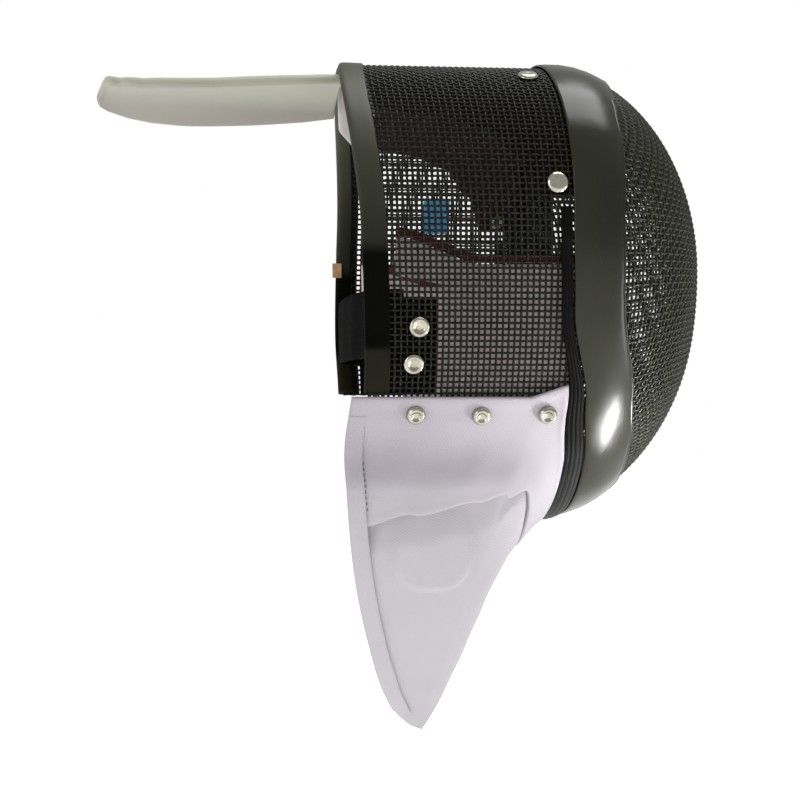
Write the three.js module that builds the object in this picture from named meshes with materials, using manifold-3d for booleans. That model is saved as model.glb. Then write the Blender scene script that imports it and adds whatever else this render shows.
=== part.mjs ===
// Fencing mask: a woven wire face and sides, a glossy seam band, a cloth bib, a rear tongue and strap.
// Millimetres, +Z up. The mask faces -Y, so the wearer's right is at -X.
// The origin is the middle of the underside of the crown pad, where the wearer's crown touches it.
import * as THREE from 'three';
import { mergeVertices } from 'three/addons/utils/BufferGeometryUtils.js';
import Module from 'manifold-3d';

const wasm = await Module();
wasm.setup();

// Driving dimensions of the wire shell
const HALF_WIDTH = 105;
const HEAD_HEIGHT = 264.5;
const WIDEST_DROP = 97;
const POLE_DROP = 131;
const POLE_Y = -149.8;
const EGG_POWER = 2.15;
const MESH_WALL = 2.2;
const GAP = 0.4;
const SIDE_MESH_DROP = 214;

// Driving dimensions of the pads, liners, trims and straps
const PAD_CROWN = 14;
const PAD_EDGE = 6;
const PAD_EASE = 1.2;
const PAD_REAR_INSET = 15.4;
const LINER_WALL = 4;
const LINER_END_DROP = 211;
const BINDING_WIDTH = 5;
const BINDING_STEP = 0.4;
const TRIM_WIDTH = 11.8;
const TRIM_INNER_WIDTH = 7.5;
const TRIM_WALL = 1.3;
const TRIM_END_DROP = 191;
const TRIM_LIP_SHARE = 0.7;
const TRIM_ROUND_SHARE = 0.4;
const CLOTH_WALL = 2;
const BIB_GAP = 0.8;
const STRAP_WALL = 1.6;
const WELT_START_DROP = 91;
const BAND_GAP = 0.8;
const BAND_WALL = 1;
const BAND_RISE = 0.9;
const BAND_ARCH = 0.7;
const WELT_WALL = 1.2;
const WELT_RISE = 0.8;
const STRAP_WIDTH = 38;
const STRAP_DROP = 155;
const PATCH_WALL = 2;
const TONGUE_WALL = 6;
const TONGUE_BASE_WALL = 9;
const TONGUE_BASE_DROP = 36;
const TONGUE_BASE_REAR_DROP = 20;
const TONGUE_BASE_DEPTH = 14.8;
const TONGUE_BASE_REAR_Y = 61.1;
const TAG_WALL = 0.8;
const TAB_WALL = 1;

// Driving dimensions of the rivets
const SHANK_RADIUS = 2;
const HEAD_SEAT_GAP = 0.5;
const WASHER_WALL = 1.2;
const WASHER_SHARE = 0.8;
const HEAD_RIM_SHARE = 0.4;
const HEAD_TOP_SHARE = 0.62;
const RIVET_SIDES = 8;
const DRILL_LENGTH = 60;

// How finely curved pieces are divided
const FACE_COLUMNS = 40;
const SIDE_COLUMNS = 32;
const TRIM_COLUMNS = 28;
const BIB_COLUMNS = 24;
const PAD_COLUMNS = 20;

// Pads and liners lie against the inside of the wire
const PAD_INSET = MESH_WALL + 0.7;

// The crown's outer face lies above the head seat by the pad and its inset
const CROWN_Z = PAD_CROWN + PAD_INSET;

const COLOURS = {
  wire: { color: 0x15150f, roughness: 0.5, metalness: 0.3 },
  band: { color: 0x34372a, roughness: 0.22, metalness: 0 },
  welt: { color: 0x1c1b19, roughness: 0.7, metalness: 0 },
  trim: { color: 0x3c3f30, roughness: 0.45, metalness: 0 },
  cloth: { color: 0xdcdae0, roughness: 0.9, metalness: 0 },
  tongue: { color: 0xa5a598, roughness: 0.85, metalness: 0 },
  lining: { color: 0xc9c7bd, roughness: 0.9, metalness: 0 },
  pad: { color: 0x2a1418, roughness: 0.95, metalness: 0 },
  liner: { color: 0xb5a9ad, roughness: 0.95, metalness: 0 },
  binding: { color: 0x5a1822, roughness: 0.9, metalness: 0 },
  strap: { color: 0x121213, roughness: 0.9, metalness: 0 },
  tag: { color: 0x2f8fc4, roughness: 0.8, metalness: 0 },
  tab: { color: 0xb98a58, roughness: 0.85, metalness: 0 },
  steel: { color: 0xb9b7a0, roughness: 0.28, metalness: 1 },
};

// Height at a given drop below the outer face of the crown
const down = (drop) => CROWN_Z - drop;
const mix = (a, b, t) => a + (b - a) * t;
const clamp = THREE.MathUtils.clamp;
const radians = (degrees) => (degrees * Math.PI) / 180;
const steps = (count) => Array.from({ length: count + 1 }, (_, i) => i / count);

// A smooth reading of a short table of [place, value] rows
function along(rows, place) {
  const last = rows.length - 1;
  if (place <= rows[0][0]) return rows[0][1];
  if (place >= rows[last][0]) return rows[last][1];
  const i = rows.findIndex((row) => row[0] > place) - 1;
  const t = (place - rows[i][0]) / (rows[i + 1][0] - rows[i][0]);
  return mix(rows[i][1], rows[i + 1][1], t * t * (3 - 2 * t));
}

// Seam and band around the face. Columns: degrees from the crown, value in millimetres
const SEAM_Y = [[0, -68], [90, -71], [130, -70], [180, -60]];
const BEND_Y = [[0, -57], [90, -65], [130, -60], [180, -45]];
const DOME_POWER = [[0, 1], [90, 1], [180, 1.03]];
const BAND_REAR_Y = [[0, -52], [90, -57], [105, -58], [125, -67], [140, -70], [180, -68]];
const BAND_WIDTH = [[0, 40], [60, 31], [90, 29], [180, 31]];
const WELT_WIDTH = [[60, 6.4], [110, 6.8], [135, 11], [180, 13]];

// Egg-shaped outline of the seam, at an angle from the crown; negative angles are the wearer's right
function eggOutline(angle) {
  const s = Math.sin(angle);
  const c = Math.cos(angle);
  const tall = c > 0 ? WIDEST_DROP : HEAD_HEIGHT - WIDEST_DROP;
  const bend = (v) => Math.sign(v) * Math.abs(v) ** (2 / EGG_POWER);
  return { x: HALF_WIDTH * bend(s), z: down(WIDEST_DROP) + tall * bend(c) };
}

// Angle at which the outline lies a given drop below the crown
function angleAtDrop(drop) {
  const c = (WIDEST_DROP - drop) / (drop < WIDEST_DROP ? WIDEST_DROP : HEAD_HEIGHT - WIDEST_DROP);
  return Math.acos(Math.sign(c) * Math.abs(c) ** (EGG_POWER / 2));
}

const around = (rows, angle) => along(rows, Math.abs(angle) * (180 / Math.PI));
const seamY = (angle) => around(SEAM_Y, angle);
const bendY = (angle) => around(BEND_Y, angle);

// Outer face of the dome. A turn of 0 is where the side starts to bend in, and 90 degrees the pole
function domePoint(angle, turn) {
  const power = around(DOME_POWER, angle);
  const spread = Math.max(Math.cos(turn), 0) ** power;
  const reach = Math.sin(turn) ** power;
  const egg = eggOutline(angle);
  const z = mix(down(POLE_DROP), egg.z, spread);
  return new THREE.Vector3(egg.x * spread, mix(bendY(angle), POLE_Y, reach), z);
}

// The turn of the dome at a given y
function turnAt(angle, y) {
  const reach = Math.min(Math.max((bendY(angle) - y) / (bendY(angle) - POLE_Y), 0), 1);
  return Math.asin(reach ** (1 / around(DOME_POWER, angle)));
}

// The whole outer face by y: straight sides, and the dome in front of the bend
function wirePoint(angle, y) {
  if (y < bendY(angle)) return domePoint(angle, turnAt(angle, y));
  const egg = eggOutline(angle);
  return new THREE.Vector3(egg.x, y, egg.z);
}

// Outward normal of a face given as a function of two parameters
function normalOf(face, u, v, du = 0.01, dv = 0.5) {
  const alongU = face(u + du, v).sub(face(u - du, v));
  const alongV = face(u, v + dv).sub(face(u, v - dv));
  return alongU.cross(alongV).normalize();
}

// A point at a height over the outer face of the wire; a negative height is inside
function overWire(angle, y, height) {
  const out = normalOf(wirePoint, angle, y);
  const point = wirePoint(angle, y);
  const side = point.clone().sub(new THREE.Vector3(0, point.y, down(POLE_DROP)));
  if (out.dot(side) < 0) out.negate();
  return point.addScaledVector(out, height);
}

// A closed solid between two faces that share a grid; wrap joins the first row to the last
function thickSheet(outer, inner, rows, columns, wrap = false) {
  const points = [];
  const faces = [];
  const across = columns.length;
  const layer = rows.length * across;
  for (const face of [outer, inner]) {
    for (const u of rows) for (const v of columns) points.push(face(u, v));
  }
  const quad = (a, b, c, d) => faces.push(a, b, c, a, c, d);
  const rowCount = wrap ? rows.length : rows.length - 1;
  for (let i = 0; i < rowCount; i++) {
    const here = i * across;
    const next = ((i + 1) % rows.length) * across;
    for (let j = 0; j < across - 1; j++) {
      quad(here + j, next + j, next + j + 1, here + j + 1);
      quad(layer + here + j, layer + here + j + 1, layer + next + j + 1, layer + next + j);
    }
    quad(here, layer + here, layer + next, next);
    const end = across - 1;
    quad(here + end, next + end, layer + next + end, layer + here + end);
  }
  if (!wrap) {
    const lastRow = (rows.length - 1) * across;
    for (let j = 0; j < across - 1; j++) {
      quad(j, j + 1, layer + j + 1, layer + j);
      quad(lastRow + j, layer + lastRow + j, layer + lastRow + j + 1, lastRow + j + 1);
    }
  }
  return closedGeometry(points, faces);
}

// Merges shared vertices, drops empty triangles and turns the faces outward
function closedGeometry(points, faces) {
  const raw = new THREE.BufferGeometry();
  raw.setAttribute('position', new THREE.Float32BufferAttribute(points.flatMap((p) => p.toArray()), 3));
  raw.setIndex(faces);
  const merged = mergeVertices(raw, 1e-3);
  const index = merged.index.array;
  const kept = [];
  for (let i = 0; i < index.length; i += 3) {
    const [a, b, c] = index.slice(i, i + 3);
    if (a !== b && b !== c && a !== c) kept.push(a, b, c);
  }
  merged.setIndex(signedVolume(merged, kept) < 0 ? kept.reverse() : kept);
  return merged;
}

function signedVolume(geometry, index) {
  const corner = [0, 1, 2].map(() => new THREE.Vector3());
  let sum = 0;
  for (let i = 0; i < index.length; i += 3) {
    corner.forEach((v, k) => v.fromBufferAttribute(geometry.attributes.position, index[i + k]));
    sum += corner[0].dot(corner[1].clone().cross(corner[2]));
  }
  return sum;
}

function toSolid(geometry) {
  const vertProperties = new Float32Array(geometry.attributes.position.array);
  const triVerts = new Uint32Array(geometry.index.array);
  return new wasm.Manifold(new wasm.Mesh({ numProp: 3, vertProperties, triVerts }));
}

function fromSolid(solid) {
  const mesh = solid.getMesh();
  const geometry = new THREE.BufferGeometry();
  geometry.setAttribute('position', new THREE.BufferAttribute(new Float32Array(mesh.vertProperties), 3));
  geometry.setIndex(new THREE.BufferAttribute(new Uint32Array(mesh.triVerts), 1));
  return geometry;
}

const mask = new THREE.Group();

function addPiece(name, geometry, look) {
  const mesh = new THREE.Mesh(geometry, new THREE.MeshStandardMaterial(COLOURS[look]));
  mesh.name = name;
  mask.add(mesh);
  return mesh;
}

// Heights of the layers that the rivets hold
const BIB_OUTER = CLOTH_WALL + BIB_GAP;
const CROWN_BACK = -PAD_INSET - PAD_CROWN + PAD_EASE;
const TEMPLE_BACK = -PAD_INSET - PAD_EDGE;
const PATCH_BACK = -PAD_INSET - PATCH_WALL;
const LINER_BACK = -PAD_INSET - LINER_WALL - BINDING_STEP;

// Rivets. Columns: name, y, drop, head radius, head height, height of its seat, height of the last layer
const RIVETS = [
  ['rivet_crown', -41, 13, 6, 2, 0, CROWN_BACK],
  ['rivet_temple', -48.5, 78, 6, 2, 0, TEMPLE_BACK],
  ['rivet_strap_upper', 26, 155.7, 5.8, 2.2, 0, PATCH_BACK],
  ['rivet_strap_lower', 28.5, 175.4, 5.8, 2.2, 0, PATCH_BACK],
  ['rivet_bib_rear', 26.5, 201.5, 5.2, 3, BIB_OUTER, -MESH_WALL],
  ['rivet_bib_middle', -9.5, 202, 5.2, 3, BIB_OUTER, LINER_BACK],
  ['rivet_bib_front', -46, 201.5, 5.2, 3, BIB_OUTER, LINER_BACK],
].map(([name, y, drop, head, rise, over, under]) => ({ name, y, drop, head, rise, over, under }));
const SIDES = [{ name: 'right', sign: -1 }, { name: 'left', sign: 1 }];

// A rivet's frame on the wire: its foot on the outer face and its outward axis
function rivetFrame(rivet, sign) {
  const angle = sign * angleAtDrop(rivet.drop);
  const foot = wirePoint(angle, rivet.y);
  const axis = overWire(angle, rivet.y, 1).sub(foot).normalize();
  return { foot, axis };
}

const UP = new THREE.Vector3(0, 1, 0);

// Holes for the shanks through a layered piece
function pierced(geometry, names) {
  let solid = toSolid(geometry);
  for (const rivet of RIVETS.filter((r) => names.includes(r.name))) {
    for (const side of SIDES) {
      const { foot, axis } = rivetFrame(rivet, side.sign);
      const radius = SHANK_RADIUS + GAP;
      const drill = new THREE.CylinderGeometry(radius, radius, DRILL_LENGTH, RIVET_SIDES);
      drill.deleteAttribute('normal');
      drill.deleteAttribute('uv');
      drill.applyQuaternion(new THREE.Quaternion().setFromUnitVectors(UP, axis));
      drill.translate(foot.x, foot.y, foot.z);
      solid = solid.subtract(toSolid(mergeVertices(drill, 1e-3)));
    }
  }
  return fromSolid(solid);
}

function makeRivets() {
  for (const rivet of RIVETS) {
    const seat = rivet.over + HEAD_SEAT_GAP;
    const back = rivet.under - HEAD_SEAT_GAP;
    const top = seat + rivet.rise;
    const washer = rivet.head * WASHER_SHARE;
    const profile = [
      [0, back - WASHER_WALL],
      [washer, back - WASHER_WALL],
      [washer, back],
      [SHANK_RADIUS, back],
      [SHANK_RADIUS, seat],
      [rivet.head, seat],
      [rivet.head, seat + rivet.rise * HEAD_RIM_SHARE],
      [rivet.head * HEAD_TOP_SHARE, top],
      [0, top],
    ].map(([x, y]) => new THREE.Vector2(x, y));
    for (const side of SIDES) {
      const lathe = new THREE.LatheGeometry(profile, RIVET_SIDES);
      lathe.deleteAttribute('normal');
      lathe.deleteAttribute('uv');
      const geometry = closedGeometry(pointsOf(lathe), Array.from(lathe.index.array));
      const mesh = addPiece(`${rivet.name}_${side.name}`, geometry, 'steel');
      const { foot, axis } = rivetFrame(rivet, side.sign);
      mesh.position.copy(foot);
      mesh.quaternion.setFromUnitVectors(UP, axis);
    }
  }
}

function pointsOf(geometry) {
  const place = geometry.attributes.position;
  return Array.from({ length: place.count }, (_, i) => new THREE.Vector3().fromBufferAttribute(place, i));
}

// Rear edge of the side mesh. Columns: degrees from the crown, negative on the wearer's right; y
const REAR_EDGE = [[-122, 52.8], [-36, 63.8], [0, 60.6], [80, 52.4], [108, 54], [122, 52.8]];
const rearY = (angle) => along(REAR_EDGE, (angle * 180) / Math.PI);

// Evenly spaced values, and angles all the way round the face
const spaced = (from, to, count) => steps(count).map((t) => mix(from, to, t));
const allRound = () => spaced(-Math.PI, Math.PI, FACE_COLUMNS).slice(0, -1);

function makeFrontMesh() {
  const turnOf = (angle, share) => mix(turnAt(angle, seamY(angle)), radians(90), share);
  const outer = (angle, share) => domePoint(angle, turnOf(angle, share));
  const inner = (angle, share) => {
    if (share === 1) return new THREE.Vector3(0, POLE_Y + MESH_WALL, down(POLE_DROP));
    const point = outer(angle, share);
    return overWire(angle, point.y, -MESH_WALL);
  };
  addPiece('front_mesh', thickSheet(outer, inner, allRound(), steps(9), true), 'wire');
}

// The lower rear corner of the side mesh is cut off from this share of the way back
const SIDE_CORNER_SHARE = 0.82;

function makeSideMesh() {
  const end = angleAtDrop(SIDE_MESH_DROP);
  const corner = end * (1 - 2 / SIDE_COLUMNS);
  const face = (height) => (place, t) => {
    const limit = mix(end, corner, Math.max(t - SIDE_CORNER_SHARE, 0) / (1 - SIDE_CORNER_SHARE));
    const angle = clamp(place, -limit, limit);
    return overWire(angle, mix(seamY(angle) + GAP, rearY(angle), t), height);
  };
  const rows = [0, 0.06, 0.5, SIDE_CORNER_SHARE, 1];
  const sheet = thickSheet(face(0), face(-MESH_WALL), spaced(-end, end, SIDE_COLUMNS), rows);
  addPiece('side_mesh', pierced(sheet, RIVETS.map((r) => r.name)), 'wire');
}

// Arched strip over the seam, all the way round the face
function makeFrontBand() {
  const arch = (t) => BAND_WALL + BAND_RISE * Math.sin(Math.PI * t) ** BAND_ARCH;
  const yAt = (angle, t) => bandY(angle, t * around(BAND_WIDTH, angle));
  const outer = (angle, t) => overWire(angle, yAt(angle, t), BAND_GAP + arch(t));
  const inner = (angle, t) => overWire(angle, yAt(angle, t), BAND_GAP);
  addPiece('front_band', thickSheet(outer, inner, allRound(), steps(5), true), 'band');
}

// The y reached after a run over the wire from the band's rear edge towards the face
function bandY(angle, run) {
  let y = around(BAND_REAR_Y, angle);
  let left = run;
  const step = 0.5;
  while (left > 0) {
    const move = Math.min(step, left);
    const here = wirePoint(angle, y);
    const stretch = here.distanceTo(wirePoint(angle, y - move)) / move;
    y -= move / stretch;
    left -= move;
  }
  return y;
}

function weltRearY(angle) {
  return around(BAND_REAR_Y, angle) + GAP + around(WELT_WIDTH, angle);
}

// Ribbed strip just behind the band, from temple to temple round under the chin
function makeSeamWelt() {
  const start = angleAtDrop(WELT_START_DROP);
  const front = (angle) => around(BAND_REAR_Y, angle) + BAND_GAP;
  const yAt = (angle, t) => mix(front(angle), weltRearY(angle), t);
  const flip = (turn) => (turn > Math.PI ? turn - 2 * Math.PI : turn);
  const arch = (t) => WELT_WALL + WELT_RISE * Math.sin(Math.PI * t);
  const outer = (turn, t) => overWire(flip(turn), yAt(flip(turn), t), GAP + arch(t));
  const inner = (turn, t) => overWire(flip(turn), yAt(flip(turn), t), GAP);
  const angles = spaced(start, 2 * Math.PI - start, SIDE_COLUMNS);
  addPiece('seam_welt', thickSheet(outer, inner, angles, steps(2)), 'welt');
}

// Folded strip over the rear edge of the wire: one lip outside, one inside
function makeRearTrim() {
  const end = angleAtDrop(TRIM_END_DROP);
  const back = -MESH_WALL - GAP;
  const lip = TRIM_WALL * TRIM_LIP_SHARE;
  const round = TRIM_WALL * TRIM_ROUND_SHARE;
  const inside = [[TRIM_WIDTH, GAP], [0, GAP], [-GAP, GAP], [-GAP, back], [0, back], [TRIM_INNER_WIDTH, back]];
  const outside = [
    [TRIM_WIDTH, GAP + lip],
    [0, GAP + TRIM_WALL],
    [-GAP - TRIM_WALL, GAP + round],
    [-GAP - TRIM_WALL, back - round],
    [0, back - TRIM_WALL],
    [TRIM_INNER_WIDTH, back - lip],
  ];
  const face = (rows) => (angle, i) => overWire(angle, rearY(angle) - rows[i][0], rows[i][1]);
  const places = inside.map((_, i) => i);
  const angles = spaced(-end, end, TRIM_COLUMNS);
  addPiece('rear_trim', thickSheet(face(outside), face(inside), angles, places), 'trim');
}

// Bib edges. Columns: share of the way down, x, y, drop
const BIB_REAR = [
  [0, 88, 61.5, 191.7],
  [0.14, 86, 64.5, 221],
  [0.3, 80, 63, 252],
  [0.48, 68, 58.7, 287],
  [0.66, 51, 51.2, 321],
  [0.85, 29, 39.3, 358],
  [0.95, 14, 29.2, 377],
  [1, 5, 21.1, 385],
];
const BIB_FRONT = [
  [0, 0, -54.6, 267.5],
  [0.08, 0, -46, 276],
  [0.18, 0, -35, 289],
  [0.5, 0, -17.5, 326],
  [0.8, 0, -3, 360],
  [0.95, 0, 6, 380],
  [1, 0, 12, 389],
];
const FAR_SIDE_PULL = 16.5;
const JAW_SHARE = 0.5;
const JAW_DROP = 185.2;
const JAW_STEEPNESS = 6;
const BIB_HOLD_DROP = 212;
const BIB_HOLD_FADE = 22;
const BIB_LIFT_POWER = 2.2;
const BIB_ROUND_POWER = 0.8;

// Reads a table of [place, x, y, drop] rows smoothly; the point's z is the drop
function smoothRow(rows, place) {
  const curve = new THREE.CatmullRomCurve3(rows.map(([, x, y, drop]) => new THREE.Vector3(x, y, drop)));
  const i = Math.max(rows.findIndex((row) => row[0] >= place), 1);
  const share = (place - rows[i - 1][0]) / (rows[i][0] - rows[i - 1][0]);
  return curve.getPoint((i - 1 + share) / (rows.length - 1));
}

// Upper edge of the bib: along the jaw, then down behind the welt and round the chin
function bibTop(share, height) {
  const sign = Math.sign(share) || 1;
  const a = Math.abs(share);
  if (a >= JAW_SHARE) {
    const t = (a - JAW_SHARE) / (1 - JAW_SHARE);
    const front = weltRearY(angleAtDrop(JAW_DROP)) + GAP;
    const corner = smoothRow(BIB_REAR, 0);
    const rear = corner.y - (sign > 0 ? FAR_SIDE_PULL : 0);
    const drop = mix(JAW_DROP, corner.z, Math.min(t * JAW_STEEPNESS, 1));
    return overWire(sign * angleAtDrop(drop), mix(front, rear, t), height);
  }
  const angle = mix(Math.PI, angleAtDrop(JAW_DROP), a / JAW_SHARE) * sign;
  return overWire(angle, weltRearY(angle) + GAP, height);
}

// A point of the bib: share runs from -1 at the right rear edge over 0 at the front to 1
function bibPoint(share, t) {
  const sign = Math.sign(share) || 1;
  const turn = (Math.abs(share) * Math.PI) / 2;
  const level = (v) => {
    const rear = smoothRow(BIB_REAR, v);
    const front = smoothRow(BIB_FRONT, v);
    const pull = sign > 0 ? FAR_SIDE_PULL * (1 - v * v) : 0;
    const out = Math.sin(turn) ** BIB_ROUND_POWER;
    const back = 1 - Math.cos(turn) ** BIB_ROUND_POWER;
    const y = mix(front.y, rear.y - pull, back);
    return new THREE.Vector3(sign * rear.x * out, y, down(mix(front.z, rear.z, back)));
  };
  const point = level(t);
  const lift = bibTop(share, BIB_OUTER).sub(level(0));
  point.addScaledVector(lift, (1 - t) ** BIB_LIFT_POWER);
  const drop = CROWN_Z - point.z;
  const hold = 1 - THREE.MathUtils.smoothstep(drop, BIB_HOLD_DROP, BIB_HOLD_DROP + BIB_HOLD_FADE);
  if (hold === 0) return point;
  const angle = sign * angleAtDrop(drop);
  const held = overWire(angle, Math.max(point.y, weltRearY(angle)), BIB_OUTER);
  return point.lerp(held, hold);
}

// Outward normal of the bib; the neck's axis lies inside it
const NECK_Y = 30;
const NECK_RISE = 20;
function bibOut(share, t) {
  const out = normalOf(bibPoint, clamp(share, -0.98, 0.98), clamp(t, 0.01, 0.98), 0.015, 0.01);
  const point = bibPoint(share, t);
  const middle = new THREE.Vector3(0, NECK_Y, point.z + NECK_RISE);
  return out.dot(point.sub(middle)) < 0 ? out.negate() : out;
}

function bibFace(topShare, endShare, depth) {
  return (share, v) => {
    const t = mix(topShare(share), endShare(share), v);
    return bibPoint(share, t).addScaledVector(bibOut(share, t), -depth);
  };
}

// Share of the way down at which the upper cloth ends in its fold
const BIB_FOLD = [[0, 0.13], [0.38, 0.14], [0.5, 0.24], [0.6, 0.25], [0.8, 0.297], [1, 0.36]];
const foldAt = (share) => along(BIB_FOLD, Math.abs(share));

// The apron's upper edge is tucked under the fold and comes out to the bib's own face below it
const TUCK_SHARE = 0.03;
const TUCK_FADE = 0.09;
const TUCK_GAP = 1.7;

function tuckedFace(depth) {
  return (share, v) => {
    const t = mix(foldAt(share) - TUCK_SHARE, 1, v);
    const fade = THREE.MathUtils.smoothstep(t, foldAt(share), foldAt(share) + TUCK_FADE);
    const tuck = (CLOTH_WALL + TUCK_GAP) * (1 - fade);
    return bibPoint(share, t).addScaledVector(bibOut(share, t), -tuck - depth);
  };
}

// Rows of the two cloths, closer together where they bend
const UPPER_ROWS = [0, 0.14, 0.28, 0.42, 0.7, 1];
const APRON_ROWS = [0, 0.04, 0.085, 0.14, 0.25, 0.4, 0.55, 0.7, 0.85, 0.94, 1];

// Sewn hems along the free rear edges
const HEM_WIDTH = 8;
const HEM_WALL = 1.2;
const HEM_GAP = 0.7;
const HEM_SHARE = 0.8;
const HEM_ROWS = [0.015, 0.052, 0.104, 0.155, 0.2, 0.26, 0.32, 0.37, 0.42, 0.5, 0.6, 0.7, 0.8, 0.88, 0.93];

function makeBib() {
  const shares = spaced(-1, 1, BIB_COLUMNS);
  const rim = () => 0;
  const upper = thickSheet(bibFace(rim, foldAt, 0), bibFace(rim, foldAt, CLOTH_WALL), shares, UPPER_ROWS);
  addPiece('bib_upper', pierced(upper, ['rivet_bib_rear', 'rivet_bib_middle', 'rivet_bib_front']), 'cloth');
  const apron = thickSheet(tuckedFace(0), tuckedFace(CLOTH_WALL), shares, APRON_ROWS);
  addPiece('bib_apron', apron, 'cloth');
  for (const side of SIDES) {
    const face = (height) => (t, c) => {
      const width = HEM_WIDTH / smoothRow(BIB_REAR, t).distanceTo(smoothRow(BIB_FRONT, t));
      const share = side.sign * (1 - width * HEM_SHARE * c);
      return bibPoint(share, t).addScaledVector(bibOut(share, t), height);
    };
    const hem = thickSheet(face(HEM_GAP + HEM_WALL), face(HEM_GAP), HEM_ROWS, steps(1));
    addPiece(`bib_hem_${side.name}`, hem, 'cloth');
  }
}

// Crown pad. Columns: share of the way back, drop of its lower edge
const PAD_EDGE_DROP = [[0, 84], [0.24, 85], [0.34, 62], [0.5, 44], [0.7, 36], [1, 32]];

// Columns: degrees from the crown, thickness
const PAD_WALL = [[0, PAD_CROWN], [35, PAD_CROWN - 2 * PAD_EASE], [58, PAD_EDGE], [180, PAD_EDGE]];
const PAD_FRONT_Y = -64;
const PAD_ROWS = [0, 0.12, 0.24, 0.3, 0.38, 0.5, 0.7, 0.85, 1];

function makeCrownPad() {
  const face = (isInner) => (s, c) => {
    const reach = angleAtDrop(along(PAD_EDGE_DROP, s));
    const angle = reach * (2 * c - 1);
    const y = mix(PAD_FRONT_Y, rearY(angle) - PAD_REAR_INSET, s);
    return overWire(angle, y, isInner ? -PAD_INSET - around(PAD_WALL, angle) : -PAD_INSET);
  };
  const sheet = thickSheet(face(false), face(true), PAD_ROWS, steps(PAD_COLUMNS));
  addPiece('crown_pad', pierced(sheet, ['rivet_crown', 'rivet_temple']), 'pad');
}

// Cheek liners. Columns: share of the way back or drop, then drop of the upper edge or rear limit
const LINER_TOP_DROP = [[0, 122], [0.55, 122], [1, 108]];
const LINER_REAR_Y = [[128, 38.6], [134, 13]];
const LINER_ROWS = [0, 0.2, 0.26, 0.6, 0.84, 1];

function makeCheekLiners() {
  for (const side of SIDES) {
    const face = (height) => (s, t) => {
      const drop = mix(along(LINER_TOP_DROP, s), LINER_END_DROP, t);
      const y = mix(PAD_FRONT_Y, along(LINER_REAR_Y, drop), s);
      return overWire(side.sign * angleAtDrop(drop), y, height);
    };
    const sheet = thickSheet(face(-PAD_INSET), face(-PAD_INSET - LINER_WALL), steps(8), LINER_ROWS);
    addPiece(`cheek_liner_${side.name}`, pierced(sheet, ['rivet_bib_middle', 'rivet_bib_front']), 'liner');
    const edge = (height) => (s, c) => {
      const drop = along(LINER_TOP_DROP, s) - GAP - BINDING_WIDTH * (1 - c);
      const y = mix(PAD_FRONT_Y, LINER_REAR_Y[0][1], s);
      return overWire(side.sign * angleAtDrop(drop), y, height);
    };
    const binding = thickSheet(edge(-PAD_INSET), edge(LINER_BACK), steps(8), steps(2));
    addPiece(`liner_binding_${side.name}`, binding, 'binding');
  }
}

// Places of the small flat pieces: drops of the upper and lower edge, y of the front and rear edge
const STRAP_PATCH = { top: 140, bottom: 192, front: 15.6, rear: 40.5 };
const SIDE_TAG = { top: 64, bottom: 87, front: -18.5, rear: -1.5 };
const TRIM_TAB = { top: 107, bottom: 116.5, front: 51.4, rear: 57.4 };

// A flat piece that follows the wire from a height inwards by its wall
function wirePatch(sign, place, height, wall) {
  const face = (level) => (s, t) => {
    const angle = sign * angleAtDrop(mix(place.top, place.bottom, t));
    return overWire(angle, mix(place.front, place.rear, s), level);
  };
  return thickSheet(face(height), face(height - wall), steps(2), steps(4));
}

// Elastic strap. Columns: share of the way out from the middle, y
const STRAP_Y = [[0, 58], [0.4, 57], [0.7, 53], [0.86, 46], [1, 34]];
const STRAP_FREE_SHARE = 0.86;
const STRAP_HALF_RUNS = [0, 0.035, 0.07, 0.1, 0.15, 0.22, 0.3, 0.4, 0.5];

function makeStrap() {
  const strapRivets = ['rivet_strap_upper', 'rivet_strap_lower'];
  for (const side of SIDES) {
    const patch = wirePatch(side.sign, STRAP_PATCH, -PAD_INSET, PATCH_WALL);
    addPiece(`strap_patch_${side.name}`, pierced(patch, strapRivets), 'strap');
  }
  const inset = PAD_INSET + PATCH_WALL + GAP + STRAP_WALL / 2;
  const middle = (s, c) => {
    const share = 2 * s - 1;
    const out = Math.abs(share);
    const angle = Math.sign(share || 1) * angleAtDrop(STRAP_DROP + STRAP_WIDTH * (c - 0.5));
    const point = overWire(angle, along(STRAP_Y, Math.max(out, STRAP_FREE_SHARE)), -inset);
    point.x *= Math.min(out / STRAP_FREE_SHARE, 1);
    point.y = along(STRAP_Y, out);
    return point;
  };
  const face = (height) => (s, c) => {
    const out = normalOf(middle, clamp(s, 0.011, 0.989), clamp(c, 0.02, 0.98), 0.01, 0.02);
    return middle(s, c).addScaledVector(out, height);
  };
  const otherHalf = STRAP_HALF_RUNS.slice(0, -1).reverse().map((s) => 1 - s);
  const runs = [...STRAP_HALF_RUNS, ...otherHalf];
  const strap = thickSheet(face(STRAP_WALL / 2), face(-STRAP_WALL / 2), runs, steps(3));
  addPiece('rear_strap', strap, 'strap');
}

// Tongue, cut straight across near its tip on the wearer's right
// Columns: y, half width, fall of the edges below the ridge, drop of the ridge
const TONGUE = [
  [61.5, 38, 5.6, 9],
  [80, 42, 6.2, 10],
  [110, 44, 6, 12],
  [145, 42.5, 5.5, 14],
  [170, 37, 4.4, 15],
  [185, 29, 3, 15.6],
  [196, 17, 1.4, 16.4],
  [201.5, 4, 0.3, 17.2],
];
const TONGUE_ROWS = [61.5, 70, 80, 95, 110, 128, 145, 158, 170, 180, 188, 194, 198.5, 201.5];
const TONGUE_ROLL = radians(6.5);

// What the right half adds to its width. Columns: y, extra width
const TONGUE_EXTRA = [[130, 0], [170, 5], [185, 11], [194, 20], [201.5, 0]];

// Inner face of the rear trim's inside lip, with the gap to what lies on it
const UNDER_TRIM = -MESH_WALL - GAP - TRIM_WALL - GAP;

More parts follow.
